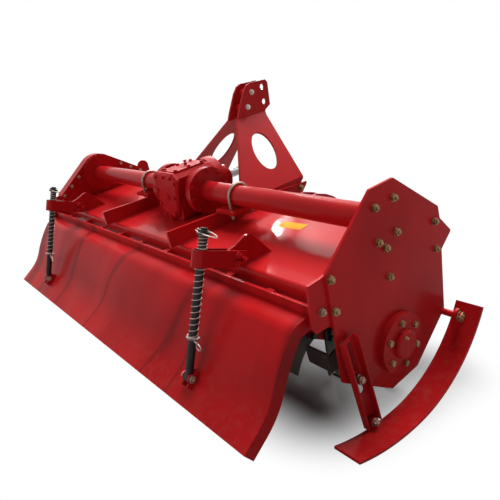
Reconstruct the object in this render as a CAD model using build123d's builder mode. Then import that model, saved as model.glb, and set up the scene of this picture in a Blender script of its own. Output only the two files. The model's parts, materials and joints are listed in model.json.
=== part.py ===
from build123d import *

import os
from math import acos, atan2, cos, degrees, hypot, radians, sin

# Rotary tiller, three-point mounted. It is modelled level: X runs across to the machine's right,
# Y forward to the tractor, Z up, and the origin is on the cross tubes' axis at mid width.
# At the end every piece is leaned back to its parked stance. Millimetres.

# Frame
half_width = 1000.0  # to the outer faces of the side plate and of the gear case's cover
side_sheet = 8.0
case_depth = 52.0  # gear case between its cover and the hood
side_half = 250.0  # half length of the side plates
side_top_half = 50.0
side_top_z = 105.0
shoulder_z = -50.0
lower_front_z = -410.0
lower_rear_z = -388.0
bottom_front = (84.0, -537.0)
bottom_rear = (-48.0, -541.0)
corner_radius = 6.0
ear_reach = 63.0  # of the pointed front ear beyond the side plate's front edge
ear_z = -154.0
case_crown = 105.0  # radius of the gear case round the cross tube
case_lug_radius = 33.0

# Cross tubes
tube_radius = 40.0
tube_wall = 7.0
tube_flange_size = (110.0, 132.0)
tube_flange_sheet = 12.0
tube_disc_radius = 94.0
disc_sheet = 15.0
flange_joint_x = 135.0  # where the tubes' discs meet the gearbox

# Hood and beams
deck_z = -105.0
deck_sheet = 5.0
deck_bend = 14.0
lip_y = -260.0
lip_z = -180.0
beam_rear_y = 224.0
beam_front_y = 255.0
beam_top_z = -90.0
beam_bottom_z = -181.0
beam_wall = 6.0
angle_leg = 42.0
angle_wall = 6.0

# Board hinge
hinge_y = -278.0
hinge_z = -148.0
hinge_rod_radius = 8.0
knuckle_radius = 13.0
knuckle_width = 30.0
pin_gap = 0.3  # round every turning pin
hinge_sheet = 8.0
hinge_plate_front = -222.0

# Rails, clamp plates and U-bolts
rail_in = 275.0
rail_sheet = 10.0
rail_nose_y = 402.0
land_half = 70.0  # flat of the rail under the tube
land_z = -50.0
clamp_out = 384.0
clamp_plate = 12.0
u_bolt_x = 342.0
u_bolt_radius = 6.0
u_bolt_gap = 0.3
u_bolt_leg = 76.0
nut_height = 10.0
nut_across = 20.0

# Mast
ear_out = 38.0
mast_sheet = 10.0
ear_crease_z = 210.0
ear_rear_y = 291.0
mast_foot_y = 69.0
mast_top_z = 345.0
foot_bend_z = -56.0
top_link_radius = 12.85
top_pin = (459.0, 315.0)
second_pin = (456.0, 252.0)
spacer_radius = 15.0
mast_window = (157.0, 309.0, 76.0)
window_long = 97.0
window_short = 52.0
window_turn = -19.0  # the windows lean rearward as they go down

# Lower hitch
lug_inner = (372.0, 384.0)
lug_outer = (440.0, 452.0)
lower_pin = (395.0, -290.0)
lower_pin_radius = 14.3
lug_end_radius = 42.0

# Rotor
rotor_drop = 395.0
rotor_tube_radius = 38.0
rotor_gap_left = 10.0  # between the rotor tube and the gear case
rotor_gap_right = 23.0  # between the rotor tube and the bearing's spigot
end_flange_set = 25.0  # of the outer flanges in from the tube's ends
stub_radius = 25.0
bearing_gap = 0.05
flange_count = 9
flange_radius = 104.0  # to the corners of the six-sided flanges
flange_sheet = 10.0
blade_reach = 240.0
blade_sheet = 8.0
shank_width = 54.0
shank_root = 52.0
shank_straight = 62.0
shank_bend_radius = 170.0
shank_bend = 32.0
wing_width = 84.0
wing_relief = 12.0  # the trailing tip stands this far inside the leading tip
phase_step = 20.0
blade_start = 6.0  # parked, two rows of tips straddle the rotor's lowest line

# Bearing housing
housing_radius = 95.0
housing_flange = 20.0
cap_radius = 45.0
cap_length = 16.0
spigot_radius = 60.0
spigot_length = 7.0
stub_end_gap = 5.0

# Gearbox
box_half = 75.0
box_rear_y = -100.0
box_front_y = 90.0
box_top_z = 88.0
box_chamfer = 18.0
neck_radius = 75.0
neck_flange = 15.0
cover_sheet = 18.0
lid_sheet = 8.0
input_z = -10.0
bell_radius = 108.0
bell_end_y = 150.0
nose_radius = 52.0
nose_end_y = 190.0
input_radius = 17.4
input_end_y = 285.0
input_root_y = 120.0
spline_count = 6
spline_depth = 2.2
spline_length = 75.0

# Board
board_side_gap = 19.0  # between the board's ends and the hinge plates
board_sheet = 6.0
board_start = (-298.0, -157.0)
board_top_length = 42.0
board_top_slope = 6.2
board_bends = ((50.0, 40.0), (600.0, 15.0), (200.0, -28.0))  # radius, turn
board_tip_length = 68.0
board_upstand = 27.0
board_flange_depth = 42.0
board_flange_sheet = 5.0
knuckle_pitch = 200.0  # the board's and the hood's knuckles take turns along the rod
knuckle_count = 9

# Rods
rod_x = 650.0
rod_pin = (-530.0, -350.0)
rod_pin_radius = 8.0
bracket_centre = (-388.5, -20.0)
rod_radius = 10.0
rod_over = 88.0  # above the bracket's centre
rod_eye_radius = 14.0
rod_eye_width = 18.0
rod_lug_sheet = 6.0
rod_lug_gap = 2.0
lower_clip = 124.0
clip_radius = 21.0
clip_sheet = 4.0
spring_radius = 17.0
spring_wire = 4.0
strap_half = 16.0
strap_sheet = 6.0
strap_height = 50.0
strap_reach = 150.0
loop_back = 8.0
washer_gap = 5.0
upper_spring = 42.0
gusset_sheet = 10.0
gusset_apex = (-212.0, -8.0)
gusset_round = 30.0

# Skids and struts
skid_pin = (236.0, -412.0)
skid_pin_radius = 11.0
skid_gap = 20.0  # from the side plate to the runner
skid_width = 90.0
skid_sheet = 8.0
skid_ear_set = 30.0  # of the front ear in from the runner's inner edge
skid_ear_sheet = 10.0
skid_ear_radius = 24.0
toe_radius = 430.0
heel_radius = 700.0
heel_drop = 188.0  # of the runner's lowest line below the skid's pin
heel_centre = (-306.0, heel_radius - heel_drop)  # from the skid's pin
toe_end = -31.6
heel_end = -112.7
strut_pin = (-181.3, -559.0)
strut_stud = (-205.0, -395.0)
strut_pin_radius = 8.0
strut_gap = 12.0  # from the side plate to the strut's web
strut_sheet = 4.0
strut_half = 28.0
strut_depth = 23.0
strut_tail = 11.0
strut_top = 309.0
slot_half = 9.5
slot_start = 110.0
slot_end = 298.0

# Parked stance: leaned back on the rotor's blades and the skids' heels
lean = 14.7

side_in = half_width - side_sheet
case_in = -side_in + case_depth
hinge_plate_in = side_in - hinge_sheet
rotor_axis = (0.0, -rotor_drop)
rotor_left = case_in + rotor_gap_left
rotor_right = side_in - spigot_length - rotor_gap_right
first_flange_x = rotor_left + end_flange_set
flange_pitch = (rotor_right - end_flange_set - first_flange_x) / (flange_count - 1)
board_half = hinge_plate_in - board_side_gap
mast_reach = top_pin[0] + 34
skid_in = half_width + skid_gap
skid_ear_x = skid_in + skid_ear_set
strut_web_x = half_width + strut_gap
knuckle_places = [(index - knuckle_count // 2) * knuckle_pitch for index in range(knuckle_count)]
board_knuckles = knuckle_places[0::2]
frame_knuckles = knuckle_places[1::2]

pieces = {}
paired = {}


def across(x):
    """The upright plane at x, with Y to its right and Z up."""
    return Plane.YZ.offset(x)


# Cross tubes: the right one runs from the gearbox to the side plate, the left one to the gear case
for tube_name, end_x, turn_about in (("right", side_in, 1), ("left", -case_in, -1)):
    with BuildPart() as cross_tube:
        with BuildSketch(across(flange_joint_x)):
            Circle(tube_disc_radius)
        extrude(amount=disc_sheet)
        with BuildSketch(across(flange_joint_x)):
            Circle(tube_radius)
        extrude(amount=end_x - flange_joint_x)
        with BuildSketch(across(end_x - tube_flange_sheet)):
            if tube_name == "right":
                RectangleRounded(*tube_flange_size, corner_radius)
            else:
                Circle(case_crown - corner_radius)
        extrude(amount=tube_flange_sheet)
        with BuildSketch(across(flange_joint_x)):
            Circle(tube_radius - tube_wall)
        extrude(amount=end_x - flange_joint_x, mode=Mode.SUBTRACT)
    tube_part = cross_tube.part if turn_about > 0 else mirror(cross_tube.part, about=Plane.YZ)
    pieces[f"cross_tube_{tube_name}"] = tube_part

# Right side plate, with the skid's pin and the strut's clamp stud
with BuildPart() as side_plate:
    with BuildSketch(across(side_in)) as side_outline:
        with BuildLine():
            Polyline(
                (-side_top_half, side_top_z),
                (side_top_half, side_top_z),
                (side_half, shoulder_z),
                (side_half + corner_radius, ear_z + ear_reach),
                (side_half + ear_reach, ear_z),
                (side_half + corner_radius, ear_z - corner_radius * 7),
                (side_half, lower_front_z),
                bottom_front,
                bottom_rear,
                (-side_half, lower_rear_z),
                (-side_half, shoulder_z),
                close=True,
            )
        make_face()
        fillet(side_outline.vertices(), corner_radius)
        with Locations(rotor_axis):
            Circle(spigot_radius + pin_gap, mode=Mode.SUBTRACT)
    extrude(amount=side_sheet)
    with BuildSketch(across(half_width)):
        with Locations(skid_pin):
            Circle(skid_pin_radius)
    extrude(amount=skid_ear_x + skid_ear_sheet + skid_pin_radius - half_width)
    with BuildSketch(across(half_width)):
        with Locations(strut_stud):
            Circle(strut_pin_radius)
    extrude(amount=strut_web_x + strut_depth - half_width)
    with BuildSketch(across(half_width)):
        with Locations(strut_stud):
            Circle(strut_pin_radius * 2)
    extrude(amount=strut_web_x - half_width - 1)
pieces["side_plate_right"] = side_plate.part

# Left gear case: a deep closed case round the side drive, and its flat cover
with BuildPart() as gear_case:
    with BuildSketch(across(-side_in)) as case_outline:
        Circle(case_crown)
        with BuildLine():
            Polyline(
                (side_half, shoulder_z),
                (side_half, lower_front_z),
                bottom_front,
                bottom_rear,
                (-side_half, lower_rear_z),
                (-side_half, shoulder_z),
                close=True,
            )
        make_face()
        make_hull()
    extrude(amount=case_depth)
    with BuildSketch(across(-side_in)):
        with BuildLine():
            Polyline(
                (side_half, shoulder_z),
                (side_half + ear_reach, shoulder_z),
                (side_half + ear_reach, ear_z + case_lug_radius),
                (side_half, ear_z - case_lug_radius),
                close=True,
            )
        make_face()
        with Locations((side_half + ear_reach - case_lug_radius, shoulder_z)):
            Circle(case_lug_radius)
    extrude(amount=case_depth / 4)
    with BuildSketch(across(case_in)):
        with Locations(rotor_axis):
            Circle(stub_radius + bearing_gap)
    extrude(amount=-case_depth + stub_end_gap, mode=Mode.SUBTRACT)
pieces["gear_case"] = gear_case.part

with BuildPart() as case_cover:
    with BuildSketch(across(-half_width)):
        Circle(case_crown)
        with BuildLine():
            Polyline(
                (side_half, shoulder_z),
                (side_half, lower_front_z),
                bottom_front,
                bottom_rear,
                (-side_half, lower_rear_z),
                (-side_half, shoulder_z),
                close=True,
            )
        make_face()
        make_hull()
    extrude(amount=side_sheet)
    with BuildSketch(across(-half_width)):
        with Locations(skid_pin):
            Circle(skid_pin_radius)
    extrude(amount=-(skid_ear_x + skid_ear_sheet + skid_pin_radius - half_width))
    with BuildSketch(across(-half_width)):
        with Locations(strut_stud):
            Circle(strut_pin_radius)
    extrude(amount=-(strut_web_x + strut_depth - half_width))
    with BuildSketch(across(-half_width)):
        with Locations(strut_stud):
            Circle(strut_pin_radius * 2)
    extrude(amount=-(strut_web_x - half_width - 1))
pieces["gear_case_cover"] = case_cover.part

# Hood: one sheet, flat over the rotor and folded down at the rear, with the hinge's fixed knuckles
with BuildPart() as hood:
    with BuildSketch(across(-hinge_plate_in)):
        with BuildLine():
            hood_line = FilletPolyline(
                (beam_rear_y, deck_z), (lip_y, deck_z), (lip_y, lip_z), radius=deck_bend
            )
            offset(hood_line, amount=deck_sheet, side=Side.LEFT)
        make_face()
    extrude(amount=hinge_plate_in + side_in)
    with BuildSketch(across(-hinge_plate_in)):
        with Locations((0, deck_z)):
            Rectangle(side_half * 2, side_half)
    extrude(amount=hinge_plate_in + case_in, mode=Mode.SUBTRACT)
    with BuildSketch(across(hinge_plate_in)):
        with Locations((hinge_plate_front, deck_z)):
            Rectangle(side_half, side_half, align=(Align.MAX, Align.CENTER))
    extrude(amount=hinge_sheet, mode=Mode.SUBTRACT)
    for knuckle_x in frame_knuckles:
        with BuildSketch(across(knuckle_x - knuckle_width / 2)):
            with Locations((hinge_y, hinge_z)):
                Circle(knuckle_radius)
                Rectangle(lip_y - hinge_y, knuckle_radius * 2, align=(Align.MIN, Align.CENTER))
        extrude(amount=knuckle_width)
    with BuildSketch(across(-half_width)):
        with Locations((hinge_y, hinge_z)):
            Circle(hinge_rod_radius + bearing_gap)
    extrude(amount=half_width * 2, mode=Mode.SUBTRACT)
pieces["hood"] = hood.part

with BuildPart() as hinge_rod:
    with BuildSketch(across(-hinge_plate_in)):
        with Locations((hinge_y, hinge_z)):
            Circle(hinge_rod_radius)
    extrude(amount=hinge_plate_in * 2)
pieces["hinge_rod"] = hinge_rod.part

# Front beam, a closed box section, and the angle that stiffens the hood's rear fold
with BuildPart() as front_beam:
    with BuildSketch(across(case_in)) as beam_outline:
        with Locations(((beam_rear_y + beam_front_y) / 2, (beam_top_z + beam_bottom_z) / 2)):
            Rectangle(beam_front_y - beam_rear_y, beam_top_z - beam_bottom_z)
        fillet(beam_outline.vertices(), beam_wall)
        offset(amount=-beam_wall, mode=Mode.SUBTRACT)
    extrude(amount=side_in - case_in)
pieces["front_beam"] = front_beam.part

with BuildPart() as rear_angle:
    with BuildSketch(across(case_in)):
        with BuildLine():
            inner_y = lip_y + deck_sheet
            under_z = deck_z - deck_sheet
            angle_line = FilletPolyline(
                (inner_y + deck_bend + angle_leg, under_z),
                (inner_y + deck_bend, under_z),
                (inner_y, under_z - deck_bend),
                (inner_y, under_z - deck_bend - angle_leg),
                radius=angle_wall,
            )
            offset(angle_line, amount=angle_wall, side=Side.LEFT)
        make_face()
    extrude(amount=hinge_plate_in - case_in)
pieces["rear_angle"] = rear_angle.part

# Plates that hold the hinge rod's ends, bolted inside the side plate and welded to the gear case
for side, front_y in (("right", hinge_plate_front), ("left", -side_half)):
    with BuildPart() as hinge_plate:
        with BuildSketch(across(hinge_plate_in)) as plate_outline:
            with BuildLine():
                Polyline(
                    (front_y, shoulder_z - 7),
                    (hinge_y - 31, shoulder_z - 10),
                    (hinge_y - 39, hinge_z - 29),
                    (hinge_y - 29, hinge_z - 51),
                    (front_y, hinge_z - 57),
                    close=True,
                )
            make_face()
            fillet(plate_outline.vertices().group_by(Axis.X)[0], corner_radius)
        extrude(amount=hinge_sheet)
    plate_part = hinge_plate.part if side == "right" else mirror(hinge_plate.part, about=Plane.YZ)
    pieces[f"hinge_plate_{side}"] = plate_part

# Rails: long plates from the hood's rear edge, under the tubes, to the nose ahead of the front beam
with BuildPart() as rail:
    with BuildSketch(across(rail_in)):
        with BuildLine():
            Polyline(
                (lip_y - 35, land_z + 10),
                (-land_half, land_z),
                (land_half, land_z),
                (beam_rear_y, land_z - 17),
                (rail_nose_y, land_z - 31),
                (rail_nose_y - 5, land_z - 42),
                (rail_nose_y - 31, land_z - 67),
                (rail_nose_y - 37, land_z - 83),
                (beam_front_y, land_z - 83),
                (beam_front_y, beam_top_z),
                (beam_rear_y, beam_top_z),
                (beam_rear_y, deck_z),
                (lip_y + deck_bend, deck_z),
                (lip_y - 35, deck_z + 5),
                close=True,
            )
        make_face()
    extrude(amount=rail_sheet)
paired["rail"] = rail.part

with BuildPart() as clamp:
    with BuildSketch(Plane.XY.offset(land_z)):
        with Locations(((rail_in + clamp_out) / 2, 0)):
            Rectangle(clamp_out - rail_in, land_half * 2)
        with Locations((u_bolt_x, tube_radius + u_bolt_gap + u_bolt_radius)):
            Circle(u_bolt_radius + u_bolt_gap, mode=Mode.SUBTRACT)
        with Locations((u_bolt_x, -tube_radius - u_bolt_gap - u_bolt_radius)):
            Circle(u_bolt_radius + u_bolt_gap, mode=Mode.SUBTRACT)
    extrude(amount=clamp_plate)
    with BuildSketch(across(rail_in)):
        Circle(tube_radius)
    extrude(amount=clamp_out - rail_in, mode=Mode.SUBTRACT)
paired["clamp_plate"] = clamp.part

u_bolt_bend = tube_radius + u_bolt_gap + u_bolt_radius
with BuildPart() as u_bolt:
    with BuildLine(across(u_bolt_x)) as u_line:
        leg = Line((u_bolt_bend, -u_bolt_leg), (u_bolt_bend, 0))
        crown = JernArc(leg @ 1, (0, 1), u_bolt_bend, 180)
        Line(crown @ 1, (-u_bolt_bend, -u_bolt_leg))
    with BuildSketch(Plane(origin=(u_bolt_x, u_bolt_bend, -u_bolt_leg), z_dir=(0, 0, 1))):
        RegularPolygon(u_bolt_radius, 8)
    sweep()
    with BuildSketch(Plane.XY.offset(land_z - nut_height)):
        with Locations((u_bolt_x, u_bolt_bend), (u_bolt_x, -u_bolt_bend)):
            RegularPolygon(nut_across / 2, 6, major_radius=False)
    extrude(amount=nut_height)
paired["u_bolt"] = u_bolt.part

# Mast: on each side one bent plate, from the top link's ear down the slope to a foot on the rail
with BuildPart() as mast_plate:
    with BuildSketch(Plane.XZ):
        with BuildLine():
            mast_line = Polyline(
                (ear_out, mast_top_z),
                (ear_out, ear_crease_z),
                (rail_in, foot_bend_z),
                (rail_in, beam_top_z),
            )
            offset(mast_line, amount=mast_sheet, side=Side.RIGHT)
        make_face()
    extrude(amount=-mast_reach)
    with BuildSketch(across(0)):
        with BuildLine():
            Polyline(
                (ear_rear_y, ear_crease_z),
                (ear_rear_y + 17, ear_crease_z + 32),
                (second_pin[0] - 106, mast_top_z - 33),
                (top_pin[0] - 86, mast_top_z - 8),
                (top_pin[0] - 64, mast_top_z),
                (top_pin[0] + 23, mast_top_z - 3),
                (mast_reach, mast_top_z - 17),
                (second_pin[0] + 30, second_pin[1] - 19),
                (second_pin[0] - 1, second_pin[1] - 35),
                (second_pin[0] - 12, second_pin[1] - 57),
                (rail_nose_y - 9, foot_bend_z - 10),
                (rail_nose_y - 37, beam_top_z),
                (mast_foot_y, beam_top_z),
                (mast_foot_y, foot_bend_z + 16),
                close=True,
            )
        make_face()
        with Locations(top_pin, second_pin):
            Circle(top_link_radius, mode=Mode.SUBTRACT)
    extrude(amount=rail_in, mode=Mode.INTERSECT)
    slope_run = rail_in - ear_out
    slope_fall = ear_crease_z - foot_bend_z
    window_plane = Plane(
        origin=mast_window, x_dir=(slope_run, 0, -slope_fall), z_dir=(slope_fall, 0, slope_run)
    )
    with BuildSketch(window_plane):
        Ellipse(window_long, window_short, rotation=window_turn)
    extrude(amount=mast_sheet * 3, both=True, mode=Mode.SUBTRACT)
paired["mast_plate"] = mast_plate.part

with BuildPart() as mast_spacers:
    with BuildSketch(across(mast_sheet - ear_out)):
        with Locations((392, 306), (356, 250)):
            Circle(spacer_radius)
    extrude(amount=(ear_out - mast_sheet) * 2)
pieces["mast_spacers"] = mast_spacers.part

# Lower hitch: a pair of lugs on each side of the beam for the lower links' balls
with BuildPart() as hitch_lugs:
    for lug_start, lug_end in (lug_inner, lug_outer):
        with BuildSketch(across(lug_start)):
            with BuildLine():
                Polyline(
                    (beam_front_y, beam_top_z + 8),
                    (beam_front_y + 36, beam_top_z + 8),
                    (beam_front_y + 84, beam_top_z - 10),
                    (beam_front_y + 121, beam_top_z - 32),
                    (beam_front_y + 163, beam_top_z - 69),
                    (lower_pin[0] + lug_end_radius, lower_pin[1] + lug_end_radius * 2),
                    (lower_pin[0] + lug_end_radius, lower_pin[1]),
                    (lower_pin[0] - lug_end_radius, lower_pin[1]),
                    (beam_front_y, beam_bottom_z),
                    close=True,
                )
            make_face()
            with Locations(lower_pin):
                Circle(lug_end_radius)
                Circle(lower_pin_radius, mode=Mode.SUBTRACT)
        extrude(amount=lug_end - lug_start)
paired["hitch_lugs"] = hitch_lugs.part

# Gearbox: the case on the hood, its rear cover and lid, and the input housing ahead of it
with BuildPart() as gearbox:
    with BuildSketch(Plane.XZ.offset(-box_rear_y)) as box_outline:
        with Locations((0, (box_top_z + deck_z) / 2)):
            Rectangle(box_half * 2, box_top_z - deck_z)
        chamfer(box_outline.vertices(), box_chamfer)
    extrude(amount=box_rear_y - box_front_y)
    with BuildSketch(across(-flange_joint_x)):
        Circle(neck_radius)
    extrude(amount=flange_joint_x * 2)
    with BuildSketch(across(-flange_joint_x), across(flange_joint_x - neck_flange)):
        Circle(tube_disc_radius)
    extrude(amount=neck_flange)
pieces["gearbox_case"] = gearbox.part

with BuildPart() as rear_cover:
    with BuildSketch(Plane.XZ.offset(-box_rear_y)) as cover_outline:
        with BuildLine():
            Polyline(
                (5 - box_half, box_top_z + 12),
                (box_half + 5, box_top_z + 12),
                (box_half + 37, box_top_z - 18),
                (box_half - 19, deck_z + 24),
                (0, deck_z),
                (-box_half / 2, deck_z + 9),
                (5 - box_half, deck_z + 65),
                close=True,
            )
        make_face()
        fillet(cover_outline.vertices(), corner_radius * 2)
    extrude(amount=cover_sheet)
    chamfer(rear_cover.faces().sort_by(Axis.Y)[0].edges(), cover_sheet / 2)
pieces["gearbox_rear_cover"] = rear_cover.part

with BuildPart() as lid:
    with BuildSketch(Plane.XY.offset(box_top_z)) as lid_outline:
        with Locations((0, (box_front_y + box_rear_y) / 2)):
            RectangleRounded(box_half * 1.45, (box_front_y - box_rear_y) * 0.8, corner_radius * 2)
    extrude(amount=lid_sheet)
pieces["gearbox_lid"] = lid.part

with BuildPart() as input_housing:
    with BuildSketch(Plane.YZ) as housing_section:
        with BuildLine():
            Polyline(
                (box_front_y, input_z),
                (box_front_y, input_z + bell_radius),
                (bell_end_y - 20, input_z + bell_radius),
                (bell_end_y, input_z + nose_radius + 14),
                (bell_end_y + 8, input_z + nose_radius),
                (nose_end_y, input_z + nose_radius),
                (nose_end_y, input_z),
                close=True,
            )
        make_face()
    revolve(axis=Axis((0, 0, input_z), (0, 1, 0)))
    with BuildSketch(Plane.XZ.offset(-nose_end_y)):
        with Locations((0, input_z)):
            Circle(input_radius + bearing_gap)
    extrude(amount=nose_end_y - input_root_y, mode=Mode.SUBTRACT)
    with BuildSketch(Plane.XY.offset(deck_z)):
        Rectangle(half_width, half_width)
    extrude(amount=-half_width, mode=Mode.SUBTRACT)
pieces["input_housing"] = input_housing.part

with BuildPart() as input_shaft:
    with BuildSketch(Plane.XZ.offset(-input_end_y)):
        with Locations((0, input_z)):
            Circle(input_radius)
    extrude(amount=input_end_y - input_root_y)
    chamfer(input_shaft.faces().sort_by(Axis.Y)[-1].edges(), 2)
    with BuildSketch(Plane.XZ.offset(-input_end_y)):
        with Locations((0, input_z)):
            with PolarLocations(input_radius, spline_count):
                Rectangle(spline_depth * 2, input_radius / 2)
    extrude(amount=spline_length, mode=Mode.SUBTRACT)
pieces["input_shaft"] = input_shaft.part

# Bearing housing on the right side plate
with BuildPart() as bearing:
    with BuildSketch(across(half_width)):
        with Locations(rotor_axis):
            Circle(housing_radius)
    extrude(amount=housing_flange)
    with BuildSketch(across(half_width)):
        with Locations(rotor_axis):
            Circle(cap_radius)
    extrude(amount=housing_flange + cap_length)
    chamfer(bearing.edges().filter_by(GeomType.CIRCLE).sort_by(Axis.X)[-1], cap_length / 3)
    with BuildSketch(across(side_in - spigot_length)):
        with Locations(rotor_axis):
            Circle(spigot_radius)
    extrude(amount=side_sheet + spigot_length)
    with BuildSketch(across(side_in - spigot_length)):
        with Locations(rotor_axis):
            Circle(stub_radius + bearing_gap)
    extrude(amount=spigot_length + side_sheet + housing_flange + stub_end_gap, mode=Mode.SUBTRACT)
pieces["bearing_housing"] = bearing.part

# Rotor shaft: the tube, its stub ends and the flanges that carry the blades
with BuildPart() as rotor_shaft:
    with BuildSketch(across(rotor_left)):
        with Locations(rotor_axis):
            Circle(rotor_tube_radius)
    extrude(amount=rotor_right - rotor_left)
    with BuildSketch(across(-side_in + stub_end_gap * 2)):
        with Locations(rotor_axis):
            Circle(stub_radius)
    extrude(amount=side_in * 2 + housing_flange - stub_end_gap * 2)
    for index in range(flange_count):
        with BuildSketch(across(first_flange_x + index * flange_pitch - flange_sheet / 2)):
            with Locations(rotor_axis):
                RegularPolygon(flange_radius, 6, rotation=blade_start + index * phase_step)
        extrude(amount=flange_sheet)
pieces["rotor_shaft"] = rotor_shaft.part

# One blade, pointing forward: a shank curved back from the flange, and a wing along the tip.
# The rotor turns forward, so the leading edge is the lower one here.
with BuildPart() as blade:
    with BuildSketch(across(0)):
        with BuildLine():
            root = Line((shank_root, -shank_width / 2), (shank_root + shank_straight, -shank_width / 2))
            bend = JernArc(root @ 1, (1, 0), shank_bend_radius + shank_width / 2, shank_bend)
            PolarLine(bend @ 1, blade_reach, direction=bend % 1)
            offset(amount=shank_width, side=Side.LEFT)
        make_face()
        Circle(blade_reach - blade_sheet, mode=Mode.INTERSECT)
    extrude(amount=blade_sheet)
    tip_angle = degrees(atan2((bend @ 1).Y, (bend @ 1).X)) + 6
    half_angle = degrees(shank_width / blade_reach / 2) + 1
    lead = (blade_reach, tip_angle - half_angle)
    trail = (blade_reach - wing_relief, tip_angle + half_angle)
    lead_point = (lead[0] * cos(radians(lead[1])), lead[0] * sin(radians(lead[1])))
    trail_point = (trail[0] * cos(radians(trail[1])), trail[0] * sin(radians(trail[1])))
    with BuildSketch(across(0)):
        with BuildLine():
            edge = RadiusArc(lead_point, trail_point, -blade_reach)
            offset(edge, amount=blade_sheet, side=Side.LEFT)
        make_face()
    extrude(amount=wing_width)
blade_right = blade.part
blade_left = mirror(blade.part, about=Plane.YZ)

blade_places = []
for index in range(flange_count):
    flange_x = first_flange_x + index * flange_pitch
    for step in range(6):
        hand = 1 if step % 2 == 0 else -1
        if index in (0, flange_count - 1):
            if step % 2 == 1:
                continue
            hand = 1 if index == 0 else -1
        turn = blade_start + step * 60 + index * phase_step
        blade_places.append((flange_x, hand, turn))

blade_copies = []
for flange_x, hand, turn in blade_places:
    source = blade_right if hand > 0 else blade_left
    spot = Location((flange_x + hand * flange_sheet / 2, 0, -rotor_drop), (turn, 0, 0))
    blade_copies.append(source.moved(spot))
with BuildPart() as blades:
    add(blade_copies)
pieces["blades"] = blades.part

# Levelling board: a curved sheet with side flanges, hung on the hinge rod by its knuckles
with BuildLine() as board_line:
    end = PolarLine(board_start, board_top_length, 180 + board_top_slope)
    for bend_radius, bend_turn in board_bends:
        end = JernArc(end @ 1, end % 1, bend_radius, bend_turn)
    PolarLine(end @ 1, board_tip_length, direction=end % 1)
board_path = board_line.wires()[0]

with BuildPart() as board:
    with BuildSketch(across(-board_half)):
        with BuildLine():
            Line((board_start[0], board_start[1] + board_upstand), board_start)
            add(board_path)
            offset(amount=board_sheet, side=Side.LEFT)
        make_face()
    extrude(amount=board_half * 2)
    for flange_x in (-board_half, board_half - board_flange_sheet):
        with BuildSketch(across(flange_x)):
            with BuildLine():
                add(board_path)
                offset(board_path, amount=board_flange_depth, side=Side.LEFT)
            make_face()
        extrude(amount=board_flange_sheet)
    for knuckle_x in board_knuckles:
        with BuildSketch(across(knuckle_x - knuckle_width / 2)):
            with Locations((hinge_y, hinge_z)):
                Circle(knuckle_radius)
            with Locations((board_start[0] + board_sheet / 2, hinge_z)):
                Rectangle(
                    hinge_y - board_start[0] - board_sheet / 2, knuckle_radius, align=(Align.MIN, Align.MAX)
                )
        extrude(amount=knuckle_width)
        with BuildSketch(across(knuckle_x - knuckle_width / 2)):
            with Locations((hinge_y, hinge_z)):
                Circle(hinge_rod_radius + pin_gap)
        extrude(amount=knuckle_width, mode=Mode.SUBTRACT)
pieces["board"] = board.part

# Rods: each stands on a pin between two lugs on the board and slides through a strap
rod_rise = (bracket_centre[0] - rod_pin[0], bracket_centre[1] - rod_pin[1])
rod_span = hypot(*rod_rise)
rod_up = (0, rod_rise[0] / rod_span, rod_rise[1] / rod_span)
rod_plane = Plane(origin=(rod_x, *rod_pin), x_dir=(1, 0, 0), z_dir=rod_up)
rod_side = Plane(origin=(rod_x, *rod_pin), x_dir=(0, rod_up[2], -rod_up[1]), z_dir=(1, 0, 0))

lug_in = rod_eye_width / 2 + rod_lug_gap
with BuildPart() as rod_lug:
    for lug_x in (rod_x - lug_in - rod_lug_sheet, rod_x + lug_in):
        with BuildSketch(across(lug_x)):
            with Locations(rod_pin):
                Circle(rod_eye_radius)
                Rectangle(
                    rod_eye_radius * 4, rod_eye_radius * 5, rotation=35, align=(Align.CENTER, Align.MAX)
                )
            with BuildLine():
                add(board_path)
                offset(board_path, amount=board_flange_depth * 3, side=Side.LEFT)
            make_face(mode=Mode.SUBTRACT)
        extrude(amount=rod_lug_sheet)
    with BuildSketch(across(rod_x - lug_in - rod_lug_sheet)):
        with Locations(rod_pin):
            Circle(rod_pin_radius)
    extrude(amount=(lug_in + rod_lug_sheet) * 2)
paired["rod_lug"] = rod_lug.part

with BuildPart() as rod:
    with BuildSketch(rod_plane):
        Circle(rod_radius)
    extrude(amount=rod_span + rod_over)
    with BuildSketch(across(rod_x - rod_eye_width / 2)):
        with Locations(rod_pin):
            Circle(rod_eye_radius)
    extrude(amount=rod_eye_width)
    with BuildSketch(rod_plane.offset(lower_clip - clip_sheet)):
        Circle(clip_radius)
    extrude(amount=clip_sheet)
    washer_level = rod_span + strap_height / 2 + upper_spring + 1
    with BuildSketch(rod_plane.offset(washer_level)):
        Circle(clip_radius)
    extrude(amount=clip_sheet)
    with BuildSketch(rod_plane.offset(washer_level + clip_sheet)):
        RegularPolygon(rod_radius * 1.5, 6, major_radius=False)
    extrude(amount=nut_height)
    with BuildSketch(across(rod_x - rod_radius)):
        with Locations(rod_pin):
            Circle(rod_pin_radius + pin_gap)
    extrude(amount=rod_radius * 2, mode=Mode.SUBTRACT)
    with BuildSketch(across(rod_x - rod_radius), across(rod_x + rod_eye_width / 2)):
        with Locations(rod_pin):
            Circle(rod_eye_radius + rod_lug_gap)
    extrude(amount=rod_radius - rod_eye_width / 2, mode=Mode.SUBTRACT)
paired["rod"] = rod.part

with BuildPart() as lower_spring:
    with BuildSketch(rod_plane.offset(lower_clip)):
        Circle(spring_radius)
        Circle(spring_radius - spring_wire, mode=Mode.SUBTRACT)
    extrude(amount=rod_span - strap_height / 2 - washer_gap - lower_clip)
paired["lower_spring"] = lower_spring.part

with BuildPart() as upper_spring_coil:
    with BuildSketch(rod_plane.offset(washer_level - upper_spring)):
        Circle(spring_radius)
        Circle(spring_radius - spring_wire, mode=Mode.SUBTRACT)
    extrude(amount=upper_spring)
paired["upper_spring"] = upper_spring_coil.part

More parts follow.
